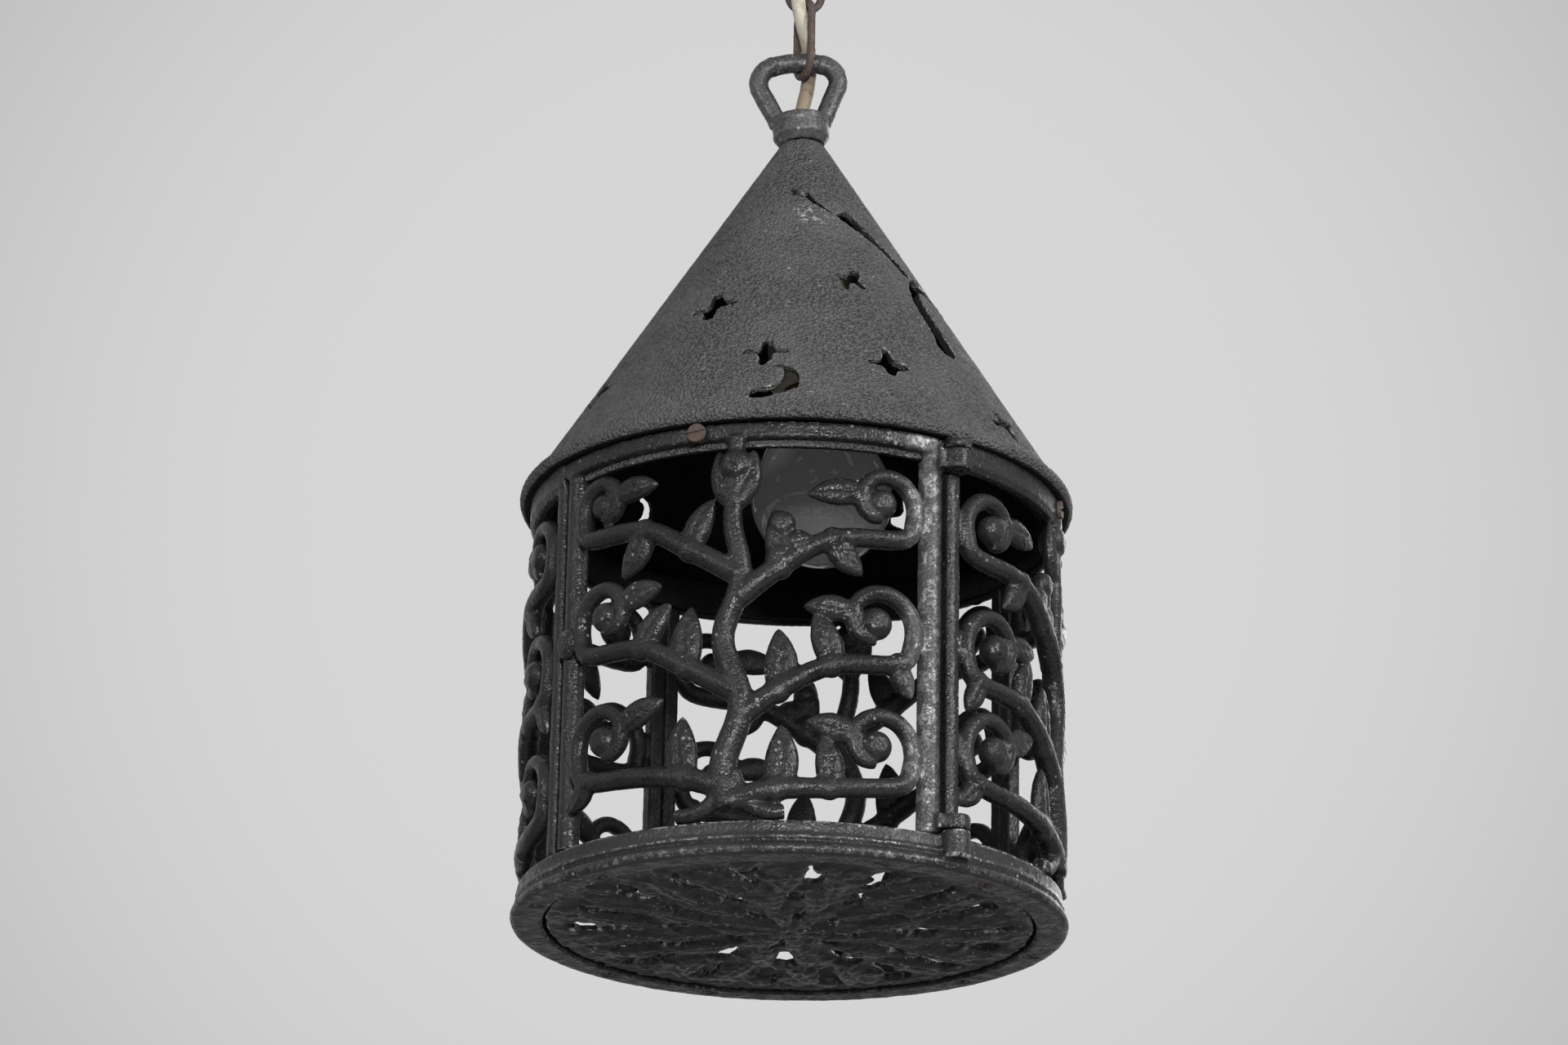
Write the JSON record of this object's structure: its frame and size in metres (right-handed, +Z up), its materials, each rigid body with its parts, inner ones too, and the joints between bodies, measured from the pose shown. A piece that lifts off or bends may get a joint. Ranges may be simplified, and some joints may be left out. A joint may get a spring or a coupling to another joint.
{
  "type": "hanging lantern",
  "caption": "Round cast-iron lantern with a pierced cone roof, openwork cage, hinged door and pierced bottom, hung by a loop on chain links under a ceiling rose, with a lamp inside.",
  "frame": {"origin": "middle of the ceiling rose's face on the ceiling, between its two screw holes", "axes": "+Z up, the lantern hangs along -Z; -Y is the middle of the door; +X is the hinge side of the door"},
  "size_m": [0.2342, 0.2342, 0.4991],
  "materials": {
    "cast_iron": "rough old casting, blackened",
    "worn_iron": "rough casting with worn bright spots",
    "rusty_steel": "forged wire and old screws with brown rust",
    "plain_steel": "dull",
    "black_paint": "satin",
    "black_plastic": "satin",
    "pale_plastic": "matte",
    "cord_cover": "aged cream cover, beige towards the lamp",
    "white_ceramic": "glazed",
    "brass": "dull",
    "grey_glass": "frosted grey"
  },
  "bodies": {
    "ceiling": {"ceiling_rose": "black_paint", "ceiling_hook": "rusty_steel", "hook_nut": "rusty_steel", "terminal_block": "pale_plastic", "cord_bush": "black_plastic", "cord_upper": "cord_cover"},
    "upper_link": {"upper_link": "rusty_steel", "cord_middle": "cord_cover"},
    "lower_link": {"lower_link": "rusty_steel", "cord_lower": "cord_cover"},
    "lantern": {"hanging_loop": "worn_iron", "tube_cord": "cord_cover", "roof_cone": "cast_iron", "roof_screws": "rusty_steel", "cup_washer": "cast_iron", "tube_nut": "plain_steel", "threaded_tube": "plain_steel", "cap_nuts": "plain_steel", "lampholder_cap": "pale_plastic", "lampholder_shell": "pale_plastic", "lampholder_insert": "white_ceramic", "contact_spring": "brass", "base_ring": "cast_iron", "base_screws": "rusty_steel", "bottom_grille": "cast_iron", "right_frame": "cast_iron", "back_frame": "cast_iron", "left_frame": "cast_iron", "right_openwork": "cast_iron", "back_openwork": "cast_iron", "left_openwork": "cast_iron", "upper_hinge_pin": "rusty_steel", "lower_hinge_pin": "rusty_steel"},
    "bulb": {"bulb_cap": "brass", "bulb_glass": "grey_glass"},
    "door": {"door_frame": "cast_iron", "door_openwork": "cast_iron", "door_knob": "cast_iron"},
    "door_screw": {"door_screw": "rusty_steel"}
  },
  "joints": [
    {"name": "upper_link_swing", "type": "hinge", "parent": "ceiling", "child": "upper_link", "pos_m": [0, 0, -0.0492], "axis": [-0.225, 0.9744, 0], "range_deg": [-25, 25], "deforming": ["cord_upper"]},
    {"name": "lower_link_swing", "type": "hinge", "parent": "upper_link", "child": "lower_link", "pos_m": [0, 0, -0.07983], "axis": [0.9744, 0.225, 0], "range_deg": [-25, 25], "deforming": ["cord_middle"]},
    {"name": "lantern_swing", "type": "hinge", "parent": "lower_link", "child": "lantern", "pos_m": [0, 0, -0.10504], "axis": [0.9744, 0.225, 0], "range_deg": [-25, 25], "deforming": ["cord_lower"]},
    {"name": "door_hinge", "type": "hinge", "parent": "lantern", "child": "door", "pos_m": [0.08442, -0.07735, -0.40914], "axis": [0, 0, 1], "range_deg": [0, 110]},
    {"name": "door_screw_in", "type": "slide", "parent": "door", "child": "door_screw", "axis": [0.1392, 0.9903, 0], "range_m": [0, 0.0013]},
    {"name": "bulb_unscrew", "type": "hinge", "parent": "lantern", "child": "bulb", "pos_m": [0, 0, -0.14954], "axis": [-0.0646, -0.0149, 0.9978], "range_deg": [-1440, 0]}
  ]
}
